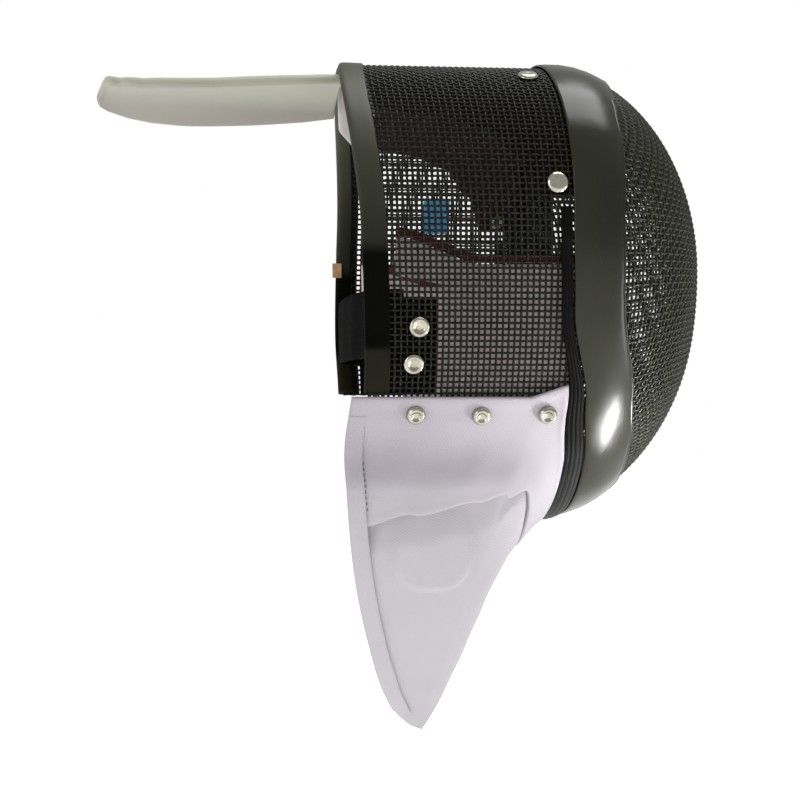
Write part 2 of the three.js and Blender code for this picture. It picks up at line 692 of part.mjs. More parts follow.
function makeTongue() {
  const base = (height) => (s, c) => {
    const angle = angleAtDrop(mix(TONGUE_BASE_DROP, TONGUE_BASE_REAR_DROP, s)) * (2 * c - 1);
    const rear = Math.min(rearY(angle) - GAP, TONGUE_BASE_REAR_Y);
    return overWire(angle, mix(rearY(angle) - TONGUE_BASE_DEPTH, rear, s), height);
  };
  const arch = thickSheet(base(UNDER_TRIM), base(UNDER_TRIM - TONGUE_BASE_WALL), steps(1), steps(16));
  addPiece('tongue_base', arch, 'lining');
  const face = (depth) => (y, c) => {
    const q = 2 * c - 1;
    const row = smoothRow(TONGUE, y);
    const x = q * (row.x + (q < 0 ? along(TONGUE_EXTRA, y) : 0));
    const z = down(row.z + depth) - row.y * q * q - x * Math.tan(TONGUE_ROLL);
    return new THREE.Vector3(x, y, z);
  };
  addPiece('tongue', thickSheet(face(0), face(TONGUE_WALL), TONGUE_ROWS, steps(8)), 'tongue');
}

// A plain tag inside the far side, and the tab that stands out at the far rear edge
function makeTags() {
  addPiece('side_tag', wirePatch(1, SIDE_TAG, -PAD_INSET, TAG_WALL), 'tag');
  addPiece('trim_tab', wirePatch(1, TRIM_TAB, UNDER_TRIM, TAB_WALL), 'tab');
}

makeFrontMesh();
makeSideMesh();
makeFrontBand();
makeSeamWelt();
makeRearTrim();
makeBib();
makeCrownPad();
makeCheekLiners();
makeStrap();
makeTongue();
makeTags();
makeRivets();

export default mask;
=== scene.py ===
# Looks of the fencing mask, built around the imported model. Metres, +Z up, the mask faces -Y.
import math

import bpy
import numpy as np
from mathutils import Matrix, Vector


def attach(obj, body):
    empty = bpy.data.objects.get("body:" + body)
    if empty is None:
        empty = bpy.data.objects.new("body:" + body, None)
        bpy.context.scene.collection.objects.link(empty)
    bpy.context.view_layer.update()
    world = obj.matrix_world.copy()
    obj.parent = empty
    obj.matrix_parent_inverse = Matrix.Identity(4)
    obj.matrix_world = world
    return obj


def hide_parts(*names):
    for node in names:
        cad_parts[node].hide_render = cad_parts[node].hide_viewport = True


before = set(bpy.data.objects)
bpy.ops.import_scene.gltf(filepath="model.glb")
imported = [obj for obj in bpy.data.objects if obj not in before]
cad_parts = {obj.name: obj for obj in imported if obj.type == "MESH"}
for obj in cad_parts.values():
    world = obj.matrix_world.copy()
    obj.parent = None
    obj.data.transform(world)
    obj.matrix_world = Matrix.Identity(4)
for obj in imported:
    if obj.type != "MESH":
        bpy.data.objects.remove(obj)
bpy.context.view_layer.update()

# Shape of the wire shell in millimetres, the same values as in the CAD source
HALF_WIDTH = 105
HEAD_HEIGHT = 264.5
WIDEST_DROP = 97
POLE_DROP = 131
POLE_Y = -149.8
EGG_POWER = 2.15
CROWN_Z = 16.9
MESH_WALL = 2.2
PAD_INSET = 2.9
SIDE_MESH_DROP = 214
SEAM_Y = [[0, -68], [90, -71], [130, -70], [180, -60]]
BEND_Y = [[0, -57], [90, -65], [130, -60], [180, -45]]
DOME_POWER = [[0, 1], [90, 1], [180, 1.03]]
BAND_REAR_Y = [[0, -52], [90, -57], [105, -58], [125, -67], [140, -70], [180, -68]]
BAND_WIDTH = [[0, 40], [60, 31], [90, 29], [180, 31]]
WELT_WIDTH = [[60, 6.4], [110, 6.8], [135, 11], [180, 13]]

# Wire of the mesh
PITCH = 3.3
FACE_WIRE = 0.86
SIDE_WIRE = 0.69
WEAVE = 0.5


def along(rows, place):
    """Smooth reading of a short table of [place, value] rows."""
    xs = np.array([r[0] for r in rows], float)
    ys = np.array([r[1] for r in rows], float)
    place = np.clip(place, xs[0], xs[-1])
    i = np.clip(np.searchsorted(xs, place, side="right") - 1, 0, len(xs) - 2)
    t = (place - xs[i]) / (xs[i + 1] - xs[i])
    return ys[i] + (ys[i + 1] - ys[i]) * t * t * (3 - 2 * t)


def around(rows, angle):
    return along(rows, np.degrees(np.abs(angle)))


def mix(a, b, t):
    return a + (b - a) * t


def smoothstep(x, low, high):
    t = np.clip((x - low) / (high - low), 0, 1)
    return t * t * (3 - 2 * t)


def egg(angle):
    """Outline of the seam: x and z at an angle from the crown."""
    s, c = np.sin(angle), np.cos(angle)
    tall = np.where(c > 0, WIDEST_DROP, HEAD_HEIGHT - WIDEST_DROP)
    power = 2 / EGG_POWER
    x = HALF_WIDTH * np.sign(s) * np.abs(s) ** power
    return x, CROWN_Z - WIDEST_DROP + tall * np.sign(c) * np.abs(c) ** power


def angle_at_drop(drop):
    drop = np.asarray(drop, float)
    c = (WIDEST_DROP - drop) / np.where(drop < WIDEST_DROP, WIDEST_DROP, HEAD_HEIGHT - WIDEST_DROP)
    return np.arccos(np.sign(c) * np.abs(c) ** (EGG_POWER / 2))


def wire_point(angle, y):
    """Outer face of the wire at an angle from the crown and a y."""
    angle, y = np.broadcast_arrays(np.asarray(angle, float), np.asarray(y, float))
    bend = around(BEND_Y, angle)
    power = around(DOME_POWER, angle)
    reach = np.clip((bend - y) / (bend - POLE_Y), 0, 1)
    spread = np.maximum(1 - reach ** (2 / power), 0) ** (power / 2)
    x, z = egg(angle)
    pole = CROWN_Z - POLE_DROP
    return np.stack([x * spread, np.maximum(y, POLE_Y), pole + (z - pole) * spread], -1)


def unit(v):
    return v / np.maximum(np.linalg.norm(v, axis=-1, keepdims=True), 1e-9)


def wire_normal(angle, y):
    across = wire_point(angle + 0.01, y) - wire_point(angle - 0.01, y)
    ahead = wire_point(angle, y + 0.5) - wire_point(angle, y - 0.5)
    out = np.cross(across, ahead)
    size = np.linalg.norm(out, axis=-1, keepdims=True)
    out = np.where(size < 1e-6, np.array([0.0, -1.0, 0.0]), out / np.maximum(size, 1e-9))
    side = wire_point(angle, y) - np.array([0, 0, CROWN_Z - POLE_DROP])
    side[..., 1] = np.where(size[..., 0] < 1e-6, -1, 0)
    return np.where(np.sum(out * side, -1, keepdims=True) < 0, -out, out)


def over_wire(angle, y, height):
    angle, y, height = np.broadcast_arrays(
        np.asarray(angle, float), np.asarray(y, float), np.asarray(height, float)
    )
    return wire_point(angle, y) + wire_normal(angle, y) * height[..., None]


def smooth_row(rows, place):
    """Smooth reading of [place, x, y, z] rows, as the CAD source reads them."""
    pts = np.array([r[1:] for r in rows], float)
    keys = np.array([r[0] for r in rows], float)
    pts = np.vstack([2 * pts[0] - pts[1], pts, 2 * pts[-1] - pts[-2]])
    place = np.asarray(place, float)
    i = np.clip(np.searchsorted(keys, place, side="left"), 1, len(keys) - 1)
    t = ((place - keys[i - 1]) / (keys[i] - keys[i - 1]))[..., None]
    p0, p1, p2, p3 = (pts[i + k] for k in (-1, 0, 1, 2))
    d0, d1, d2 = (np.sqrt(np.linalg.norm(b - a, axis=-1, keepdims=True)) for a, b in ((p0, p1), (p1, p2), (p2, p3)))
    m1 = ((p1 - p0) / d0 - (p2 - p0) / (d0 + d1) + (p2 - p1) / d1) * d1
    m2 = ((p2 - p1) / d1 - (p3 - p1) / (d1 + d2) + (p3 - p2) / d2) * d1
    return (
        p1
        + m1 * t
        + (-3 * p1 + 3 * p2 - 2 * m1 - m2) * t**2
        + (2 * p1 - 2 * p2 + m1 + m2) * t**3
    )


def make_mesh(name, points, faces, material, uv=None):
    """A smooth mesh from millimetre points; uv gives each point's place on the flat cloth in millimetres."""
    data = bpy.data.meshes.new(name)
    data.from_pydata((np.asarray(points).reshape(-1, 3) * 0.001).tolist(), [], faces)
    data.validate()
    data.materials.append(material)
    for polygon in data.polygons:
        polygon.use_smooth = True
    if uv is not None:
        flat = np.asarray(uv).reshape(-1, 2) * 0.001
        layer = data.uv_layers.new(name="flat")
        index = np.zeros(len(data.loops), int)
        data.loops.foreach_get("vertex_index", index)
        layer.data.foreach_set("uv", flat[index].ravel())
    obj = bpy.data.objects.new(name, data)
    bpy.context.scene.collection.objects.link(obj)
    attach(obj, "root")
    return obj


def sheet_faces(nu, nv, wrap=False):
    """Faces of a closed solid between an outer and an inner grid of nu by nv points."""
    index = np.arange(nu * nv).reshape(nu, nv)
    layer = nu * nv
    if wrap:
        index = np.vstack([index, index[:1]])
    a, b, c, d = index[:-1, :-1], index[1:, :-1], index[1:, 1:], index[:-1, 1:]
    faces = np.stack([a, b, c, d], -1).reshape(-1, 4).tolist()
    faces += (np.stack([a, d, c, b], -1).reshape(-1, 4) + layer).tolist()
    for edge, turned in ((index[:, 0], False), (index[:, -1], True)):
        lower, upper = edge[:-1], edge[1:]
        side = np.stack([lower, lower + layer, upper + layer, upper], -1)
        faces += (side[:, ::-1] if turned else side).tolist()
    if not wrap:
        for edge, turned in ((index[0], True), (index[-1], False)):
            lower, upper = edge[:-1], edge[1:]
            side = np.stack([lower, lower + layer, upper + layer, upper], -1)
            faces += (side[:, ::-1] if turned else side).tolist()
    return faces


def sheet(name, outer, inner, material, wrap=False):
    """A closed sheet between two grids of points, with the flat size of its outer face as UV."""
    nu, nv = outer.shape[:2]
    step_u = np.linalg.norm(np.diff(outer, axis=0), axis=-1).mean(1)
    step_v = np.linalg.norm(np.diff(outer, axis=1), axis=-1).mean(0)
    u = np.concatenate([[0], np.cumsum(step_u)])
    v = np.concatenate([[0], np.cumsum(step_v)])
    uv = np.stack(np.meshgrid(u, v, indexing="ij"), -1)
    points = np.concatenate([outer.reshape(-1, 3), inner.reshape(-1, 3)])
    faces = sheet_faces(nu, nv, wrap)
    obj = make_mesh(name, points, faces, material, np.concatenate([uv, uv]))
    outward(obj)
    return obj


def outward(obj):
    """Turns the faces outward if the solid is inside out."""
    data = obj.data
    data.calc_loop_triangles()
    co = np.zeros(len(data.vertices) * 3)
    data.vertices.foreach_get("co", co)
    co = co.reshape(-1, 3)
    tri = np.array([t.vertices[:] for t in data.loop_triangles])
    a, b, c = co[tri[:, 0]], co[tri[:, 1]], co[tri[:, 2]]
    if np.sum(a * np.cross(b, c)) < 0:
        data.flip_normals()


def shade(name, slot_colour, roughness=0.6, metallic=0.0, **inputs):
    """A material with its uniform values on the shader; returns the material, its nodes, links and shader."""
    material = bpy.data.materials.new(name)
    material.use_nodes = True
    nodes, links = material.node_tree.nodes, material.node_tree.links
    shader = nodes["Principled BSDF"]
    shader.inputs["Base Color"].default_value = (*slot_colour, 1)
    shader.inputs["Roughness"].default_value = roughness
    shader.inputs["Metallic"].default_value = metallic
    for key, value in inputs.items():
        shader.inputs[key.replace("_", " ")].default_value = value
    return material, nodes, links, shader


def node(nodes, kind, **values):
    made = nodes.new(kind)
    for key, value in values.items():
        if key in made.inputs:
            made.inputs[key].default_value = value
        else:
            setattr(made, key, value)
    return made


def coordinates(nodes, links, space, scale, turn=0.0):
    """Texture place in the object or on the flat cloth, scaled from metres."""
    source = nodes.new("ShaderNodeTexCoord")
    mapping = nodes.new("ShaderNodeMapping")
    mapping.inputs["Scale"].default_value = scale if hasattr(scale, "__len__") else (scale,) * 3
    mapping.inputs["Rotation"].default_value[2] = turn
    links.new(source.outputs[space], mapping.inputs["Vector"])
    return mapping.outputs["Vector"]


def noise(nodes, links, place, detail=3, scale=1.0):
    made = node(nodes, "ShaderNodeTexNoise", Scale=scale, Detail=detail)
    links.new(place, made.inputs["Vector"])
    return made.outputs["Fac"]


def ramp(nodes, links, value, stops):
    """Colour by a value. Rows of stops: place, colour."""
    made = nodes.new("ShaderNodeValToRGB")
    while len(made.color_ramp.elements) < len(stops):
        made.color_ramp.elements.new(0.5)
    for element, (place, colour) in zip(made.color_ramp.elements, stops):
        element.position = place
        element.color = (*colour, 1)
    links.new(value, made.inputs["Fac"])
    return made.outputs["Color"]


def bump(nodes, links, shader, height, strength, distance, before=None):
    made = node(nodes, "ShaderNodeBump", Strength=strength, Distance=distance)
    links.new(height, made.inputs["Height"])
    if before is not None:
        links.new(before, made.inputs["Normal"])
    links.new(made.outputs["Normal"], shader.inputs["Normal"])
    return made.outputs["Normal"]


def blend_colours(nodes, links, factor, first, second, kind="MIX"):
    made = nodes.new("ShaderNodeMix")
    made.data_type = "RGBA"
    made.blend_type = kind
    for socket, value in ((made.inputs[0], factor), (made.inputs[6], first), (made.inputs[7], second)):
        if hasattr(value, "links"):
            links.new(value, socket)
        elif hasattr(value, "__len__"):
            socket.default_value = (*value, 1)
        else:
            socket.default_value = value
    return made.outputs[2]


def weave_height(nodes, links, place, threads, turn):
    """Height of a plain weave: two sets of fine waves across each other."""
    waves = []
    for axis in ("X", "Y"):
        made = node(nodes, "ShaderNodeTexWave", bands_direction=axis, Scale=threads, Distortion=0.6, Detail=1)
        links.new(place, made.inputs["Vector"])
        waves.append(made.outputs["Fac"])
    both = node(nodes, "ShaderNodeMath", operation="MULTIPLY")
    links.new(waves[0], both.inputs[0])
    links.new(waves[1], both.inputs[1])
    return both.outputs[0]


def by_height(nodes, links, stops):
    """Colour by the height z. Rows of stops: z in metres, colour."""
    place = nodes.new("ShaderNodeTexCoord")
    parts = nodes.new("ShaderNodeSeparateXYZ")
    links.new(place.outputs["Object"], parts.inputs[0])
    share = nodes.new("ShaderNodeMapRange")
    share.inputs["From Min"].default_value = stops[0][0]
    share.inputs["From Max"].default_value = stops[-1][0]
    links.new(parts.outputs["Z"], share.inputs["Value"])
    span = stops[-1][0] - stops[0][0]
    return ramp(nodes, links, share.outputs[0], [((z - stops[0][0]) / span, colour) for z, colour in stops])


def grey(value):
    return (value, value, value)


def wire_material(name, dark, light, specular):
    material, nodes, links, shader = shade(name, light, 0.4, 0.2, Specular_IOR_Level=specular)
    place = coordinates(nodes, links, "Object", 260)
    fac = noise(nodes, links, place)
    colour = ramp(nodes, links, fac, [(0.3, dark), (0.7, light)])
    links.new(colour, shader.inputs["Base Color"])
    bump(nodes, links, shader, fac, 0.15, 0.0002)
    return material


def band_material():
    material, nodes, links, shader = shade("band_gloss", (0.02, 0.021, 0.012), 0.22, Specular_IOR_Level=0.34)
    place = coordinates(nodes, links, "Object", (14, 14, 7))
    fac = noise(nodes, links, place, 4)
    colour = ramp(nodes, links, fac, [(0.32, (0.008, 0.0085, 0.0035)), (0.7, (0.021, 0.0215, 0.0105))])
    links.new(colour, shader.inputs["Base Color"])
    rough = node(nodes, "ShaderNodeMapRange")
    rough.inputs["To Min"].default_value = 0.16
    rough.inputs["To Max"].default_value = 0.34
    links.new(fac, rough.inputs["Value"])
    links.new(rough.outputs[0], shader.inputs["Roughness"])
    grain = noise(nodes, links, coordinates(nodes, links, "Object", 900), 2)
    waves = noise(nodes, links, coordinates(nodes, links, "Object", 45), 2)
    first = bump(nodes, links, shader, grain, 0.06, 0.0001)
    bump(nodes, links, shader, waves, 0.4, 0.0009, first)
    return material


def plain_material(name, dark, light, roughness, patch, grain, grain_depth, heights=None, **inputs):
    """Colour that varies in soft patches and by height, with a fine grain. The height shares paint light and shade
    into the colour and scale the gloss the same way.
    """
    material, nodes, links, shader = shade(name, light, roughness, **inputs)
    fac = noise(nodes, links, coordinates(nodes, links, "Object", patch), 4)
    colour = ramp(nodes, links, fac, [(0.3, dark), (0.7, light)])
    if heights:
        share = by_height(nodes, links, heights)
        colour = blend_colours(nodes, links, 1.0, colour, share, "MULTIPLY")
        gloss = node(nodes, "ShaderNodeMath", operation="MULTIPLY")
        gloss.inputs[1].default_value = 0.5
        links.new(share, gloss.inputs[0])
        links.new(gloss.outputs[0], shader.inputs["Specular IOR Level"])
    links.new(colour, shader.inputs["Base Color"])
    fine = noise(nodes, links, coordinates(nodes, links, "Object", grain), 3)
    bump(nodes, links, shader, fine, 0.5, grain_depth)
    return material


def cloth_material(name, dark, light, threads, depth, turn=0.0, sheen=0.3, specular=0.5, heights=None):
    """Woven cloth on its flat size: threads a metre, and colour by patches and height. The height shares paint light
    and shade on the bib and tongue.
    """
    material, nodes, links, shader = shade(name, light, 0.88, Specular_IOR_Level=specular)
    shader.inputs["Sheen Weight"].default_value = sheen
    shader.inputs["Sheen Roughness"].default_value = 0.5
    place = coordinates(nodes, links, "UV", 1, turn)
    height = weave_height(nodes, links, place, threads / 6.2832 * 2, turn)
    patches = noise(nodes, links, coordinates(nodes, links, "Object", 30), 4)
    base = ramp(nodes, links, patches, [(0.3, mix_colour(dark, light, 0.55)), (0.7, light)])
    colour = blend_colours(nodes, links, height, dark, base)
    if heights:
        colour = blend_colours(nodes, links, 1.0, colour, by_height(nodes, links, heights), "MULTIPLY")
    links.new(colour, shader.inputs["Base Color"])
    fuzz = noise(nodes, links, coordinates(nodes, links, "Object", 1500), 2)
    first = bump(nodes, links, shader, fuzz, 0.25, 0.0001)
    bump(nodes, links, shader, height, 0.7, depth, first)
    return material


def mix_colour(a, b, t):
    return tuple(mix(x, y, t) for x, y in zip(a, b))


# The face paint is a lighter, more olive copy of the side's black paint: painted sheen on the dome's wires
FACE_SHEEN_PAINT = wire_material("face_wire_sheen_paint", (0.006, 0.006, 0.004), (0.034, 0.034, 0.018), 0.5)
SIDE_PAINT = wire_material("side_wire_paint", (0.004, 0.004, 0.003), (0.018, 0.018, 0.011), 0.25)
BAND = band_material()

# Colour shares by height. Columns: z in metres, share
# Welt shares: lighter low at the chin as a painted highlight, nearly black above; the gloss follows the same shares
WELT_PAINTED_LIGHT = [[-0.25, grey(0.55)], [-0.225, grey(0.5)], [-0.2, grey(0.15)], [-0.07, grey(0.12)]]
# Trim shares: pale towards the top as a painted sheen, near-black from z -0.149 to -0.1 as painted shade and dark
# reflection, a paler olive foot below as painted reflection; the gloss follows the same shares
TRIM_PAINTED_LIGHT_AND_SHADE = [
    [-0.18, (0.16, 0.16, 0.1)], [-0.152, (0.14, 0.14, 0.1)], [-0.149, grey(0.03)], [-0.1, grey(0.05)],
    [-0.093, grey(0.3)], [-0.06, grey(0.5)], [-0.02, grey(0.72)], [0.017, grey(0.8)],
]
# Bib shares: lighter towards the hem and darker up under the mask, painted light and shade
BIB_PAINTED_LIGHT = [[-0.37, (0.77, 0.77, 0.75)], [-0.26, (0.72, 0.71, 0.7)], [-0.21, (0.65, 0.62, 0.64)], [-0.17, (0.62, 0.59, 0.6)]]
# Tongue shares: the top edge far lighter as a painted highlight, the underside darker as painted shade
TONGUE_PAINTED_LIGHT = [[-0.03, (0.6, 0.57, 0.58)], [-0.005, (0.6, 0.57, 0.58)], [0.001, (0.9, 0.92, 0.86)], [0.012, (0.95, 0.98, 0.9)]]
PAD_HEIGHTS = [[-0.08, grey(1)], [-0.014, grey(1)], [-0.004, (0.35, 0.5, 0.45)], [0.017, (0.3, 0.45, 0.4)]]

WELT = plain_material("welt_tape", (0.006, 0.006, 0.006), (0.03, 0.03, 0.027), 0.55, 60, 1400, 0.0002, WELT_PAINTED_LIGHT)
TRIM = plain_material("trim_strip", (0.038, 0.039, 0.022), (0.07, 0.072, 0.042), 0.5, 25, 700, 0.00006, TRIM_PAINTED_LIGHT_AND_SHADE)
BIB = cloth_material("bib_cloth", (0.64, 0.61, 0.665), (0.74, 0.71, 0.765), 950, 0.00011, math.radians(45), heights=BIB_PAINTED_LIGHT)
TONGUE = cloth_material("tongue_cloth", (0.42, 0.42, 0.345), (0.66, 0.66, 0.56), 1500, 0.00012, heights=TONGUE_PAINTED_LIGHT)
LINING = cloth_material("lining_cloth", (0.45, 0.43, 0.38), (0.66, 0.64, 0.57), 1200, 0.00012)
PAD = cloth_material("pad_cloth", (0.012, 0.004, 0.006), (0.045, 0.01, 0.015), 1000, 0.00015, sheen=0.0, specular=0.2, heights=PAD_HEIGHTS)
LINER = cloth_material("liner_cloth", (0.66, 0.56, 0.57), (0.92, 0.83, 0.84), 1000, 0.00015)
BINDING = cloth_material("binding_tape", (0.1, 0.008, 0.018), (0.2, 0.02, 0.035), 1400, 0.00012, sheen=0.0)
ELASTIC = cloth_material("elastic_webbing", (0.003, 0.003, 0.003), (0.009, 0.008, 0.008), 700, 0.0003, sheen=0.0, specular=0.02)
TAG = cloth_material("tag_cloth", (0.06, 0.3, 0.56), (0.12, 0.48, 0.84), 1600, 0.0001)
THREAD = plain_material("hem_thread", (0.22, 0.21, 0.23), (0.34, 0.33, 0.35), 0.8, 200, 2500, 0.0001)
TAB = plain_material("tab_leather", (0.36, 0.2, 0.09), (0.56, 0.35, 0.17), 0.6, 120, 1500, 0.0001)
RIVET = plain_material("rivet_metal", (0.33, 0.32, 0.25), (0.58, 0.56, 0.46), 0.2, 150, 1200, 0.00002, Metallic=1.0)


# Woven wire
def tube_grid(points, normals, radius):
    """Corner points of a four-sided wire along a line."""
    ahead = unit(np.gradient(points, axis=0))
    across = unit(np.cross(ahead, normals))
    out = unit(np.cross(across, ahead))
    ring = [out, across, -out, -across]
    return np.stack([points + radius * r for r in ring], 1)


def make_wires(name, lines, radius, paint, replaced):
    """One mesh of many wires; each line is a pair of points and outward normals."""
    points = []
    faces = []
    start = 0
    for line, normals in lines:
        grid = tube_grid(line, normals, radius)
        n = len(line)
        index = start + np.arange(n * 4).reshape(n, 4)
        turned = np.roll(index, -1, axis=1)
        quads = np.stack([index[:-1], turned[:-1], turned[1:], index[1:]], -1)
        faces += quads.reshape(-1, 4).tolist()
        faces += [index[0][::-1].tolist(), index[-1].tolist()]
        points.append(grid.reshape(-1, 3))
        start += n * 4
    obj = make_mesh(name, np.concatenate(points), faces, paint)
    outward(obj)
    if replaced:
        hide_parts(replaced)
    return obj


def woven(points, normals, sign):
    """Lifts crossing points over or under, with a level point between each two."""
    n = len(points)
    line = np.empty((2 * n - 1, 3))
    up = np.empty((2 * n - 1, 3))
    middle = -MESH_WALL / 2
    line[::2] = points + normals * (middle + WEAVE * sign)[:, None]
    up[::2] = normals
    between = unit(normals[1:] + normals[:-1])
    line[1::2] = (points[1:] + points[:-1]) / 2 + between * middle
    up[1::2] = between
    return line, up


# Slope of the face's level wires, by drop: they fan out towards the seam
ROW_SLOPE = [[0, 0.0], [30, 0.12], [60, 0.12], [100, 0], [160, -0.28], [200, -0.36], [235, -0.3], [262, -0.08]]


def face_rows():
    """Starting points of the level wires on the middle line, evenly spaced."""
    turn = np.linspace(0, math.pi / 2, 1500)
    starts = []
    for angle in (0.0, math.pi):
        bend = around(BEND_Y, angle)
        power = around(DOME_POWER, angle)
        y = bend + (POLE_Y - bend) * np.sin(turn) ** power
        line = wire_point(np.full_like(y, angle), y)[::-1]
        run = np.concatenate([[0], np.cumsum(np.linalg.norm(np.diff(line, axis=0), axis=1))])
        last = np.interp(-around(SEAM_Y, angle), -line[:, 1][::-1], run[::-1])
        at = np.arange(PITCH / 2, last, PITCH)
        rows = np.stack([np.interp(at, run, line[:, 1]), np.interp(at, run, line[:, 2])], -1)
        starts.append(rows)
    return np.concatenate([starts[0][::-1], starts[1]])


def face_wires():
    table = np.linspace(0, math.pi, 541)
    rows = []
    for y0, z0 in face_rows():
        slope = along(ROW_SLOPE, CROWN_Z - z0)
        share = np.linspace(0, 1, 70) ** 2
        y = mix(y0, -58.0, share)
        z = wire_point(table[None, :], y[:, None])[..., 2]
        target = z0 + slope * (y - y0)
        angle = np.array([np.interp(t, row[::-1], table[::-1]) for t, row in zip(target, z)])
        angle[0] = 0.0 if z0 > CROWN_Z - POLE_DROP else math.pi
        keep = y <= around(SEAM_Y, angle)
        if keep.sum() < 3:
            rows.append(None)
            continue
        angle, y = angle[keep], y[keep]
        line = wire_point(angle, y)
        run = np.concatenate([[0], np.cumsum(np.linalg.norm(np.diff(line, axis=0), axis=1))])
        at = np.arange(PITCH / 2, run[-1], PITCH)
        if len(at) == 0:
            rows.append(None)
            continue
        rows.append((np.interp(at, run, angle), np.interp(at, run, y)))
    level = []
    upright = {}
    for k, row in enumerate(rows):
        if row is None:
            continue
        angle = np.concatenate([-row[0][::-1], row[0]])
        y = np.concatenate([row[1][::-1], row[1]])
        half = len(row[0])
        column = np.arange(-half, half)
        sign = np.where((column + k) % 2 == 0, 1.0, -1.0)
        points, normals = wire_point(angle, y), wire_normal(angle, y)
        level.append(woven(points, normals, sign))
        for c, p, n, s in zip(column, points, normals, sign):
            upright.setdefault(c, []).append((p, n, -s))
    down = []
    for crossings in upright.values():
        if len(crossings) > 2:
            p, n, s = (np.array(v) for v in zip(*crossings))
            down.append(woven(p, n, s))
    make_wires("face_wires_level", level, FACE_WIRE, FACE_SHEEN_PAINT, "front_mesh")
    make_wires("face_wires_upright", down, FACE_WIRE, FACE_SHEEN_PAINT, None)


# Rear edge of the wire. Columns: degrees from the crown, negative on the wearer's right; y
REAR_EDGE = [[-122, 52.8], [-36, 63.8], [0, 60.6], [80, 52.4], [108, 54], [122, 52.8]]


def rear_y(angle):
    return along(REAR_EDGE, np.degrees(angle))


# Below this drop and behind this y no wire shows on the left, where the bib stands further forward
BARE_CORNER_DROP = 192
BARE_CORNER_Y = 38


def side_wires():
    end = float(angle_at_drop(SIDE_MESH_DROP))
    table = np.linspace(-end, end, 4001)
    x, z = egg(table)
    run = np.concatenate([[0], np.cumsum(np.hypot(np.diff(x), np.diff(z)))])
    count = int(run[-1] / PITCH)
    angle = np.interp((np.arange(count) + 0.5) / count * run[-1], run, table)
    deep = int(126 / PITCH)
    share = (np.arange(deep) + 0.5) / deep
    a, s = np.meshgrid(angle, share, indexing="ij")
    y = mix(around(SEAM_Y, a) + 0.6, rear_y(a), s)
    points, normals = wire_point(a, y), wire_normal(a, y)
    i, j = np.meshgrid(np.arange(count), np.arange(deep), indexing="ij")
    sign = np.where((i + j) % 2 == 0, 1.0, -1.0)
    limit = end * (1 - np.clip(s - 0.82, 0, 1) / 0.18 / 16)
    bare_corner = (a > angle_at_drop(BARE_CORNER_DROP)) & (y > BARE_CORNER_Y)
    kept = (np.abs(a) <= limit) & ~bare_corner
    level = []
    for k in range(count):
        inside = kept[k]
        if inside.sum() > 2:
            level.append(woven(points[k][inside], normals[k][inside], sign[k][inside]))
    arch = []
    for k in range(deep):
        inside = kept[:, k]
        arch.append(woven(points[inside, k], normals[inside, k], -sign[inside, k]))
    make_wires("side_wires_level", level, SIDE_WIRE, SIDE_PAINT, "side_mesh")
    make_wires("side_wires_arch", arch, SIDE_WIRE, SIDE_PAINT, None)


# Band over the seam. Columns: share of its width from the rear edge, height over the wire
BAND_PROFILE = [
    [0, 0.8], [0, 1.5], [0.012, 1.95], [0.04, 2.1], [0.1, 2.3], [0.3, 2.62], [0.5, 2.72], [0.7, 2.6],
    [0.86, 2.3], [0.925, 2.12], [0.94, 1.98], [0.955, 2.14], [0.975, 2.22], [0.99, 2.0], [1, 1.5], [1, 0.8],
]


def band_y(angle, share):
    """The y at a share of the band's width, measured over the wire from its rear edge."""
    rear = around(BAND_REAR_Y, angle)
    y = rear[:, None] - np.linspace(0, 60, 241)[None, :]
    line = wire_point(angle[:, None], y)
    run = np.cumsum(np.linalg.norm(np.diff(line, axis=1), axis=-1), axis=1)
    run = np.concatenate([np.zeros((len(angle), 1)), run], 1)
    want = around(BAND_WIDTH, angle)[:, None] * share
    return np.array([np.interp(w, r, v) for w, r, v in zip(want, run, y)])


def make_band():
    angle = np.linspace(-math.pi, math.pi, 361)[:-1]
    share = np.array([[p[0] for p in BAND_PROFILE]] * len(angle))
    rng = np.random.default_rng(7)
    ragged = np.interp(np.arange(360), np.arange(0, 361, 3), rng.normal(0, 1, 121))
    share[:, -6:] += (np.clip(ragged, -2, 1) * 0.014)[:, None] * np.linspace(0.3, 1, 6)
    y = band_y(angle, share)
    height = np.array([p[1] for p in BAND_PROFILE])
    wave = 0.12 * np.sin(9 * angle) + 0.1 * np.sin(23 * angle + 1)
    lift = np.sin(np.pi * np.clip(share, 0, 1)) * wave[:, None]
    outer = over_wire(np.repeat(angle[:, None], len(height), 1), y, height[None, :] + lift)
    inner = over_wire(np.repeat(angle[:, None], len(height), 1), y, 0.8)
    inner[:, 0] = outer[:, 0]
    inner[:, -1] = outer[:, -1]
    band = sheet("seam_band", outer[:, 1:-1], inner[:, 1:-1], BAND, wrap=True)
    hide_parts("front_band")


def welt_rear_y(angle):
    return around(BAND_REAR_Y, angle) + 0.4 + around(WELT_WIDTH, angle)


def make_welt():
    start = float(angle_at_drop(91))
    turn = np.linspace(start, 2 * math.pi - start, 420)
    angle = np.where(turn > math.pi, turn - 2 * math.pi, turn)
    share = np.linspace(0, 1, 33)
    front = around(BAND_REAR_Y, angle) + 0.8
    y = mix(front[:, None], welt_rear_y(angle)[:, None], share[None, :])
    ribs = 0.5 * np.abs(np.sin(share * math.pi * 4)) ** 0.6
    arch = 0.9 + 0.9 * np.sin(math.pi * share) ** 0.8
    notch = 0.1 * np.sin(turn * 260)
    height = 0.4 + arch + ribs * (1 + notch[:, None])
    a = np.repeat(angle[:, None], 33, 1)
    welt = sheet("seam_tape_ribbed", over_wire(a, y, height), over_wire(a, y, 0.4), WELT)
    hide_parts("seam_welt")


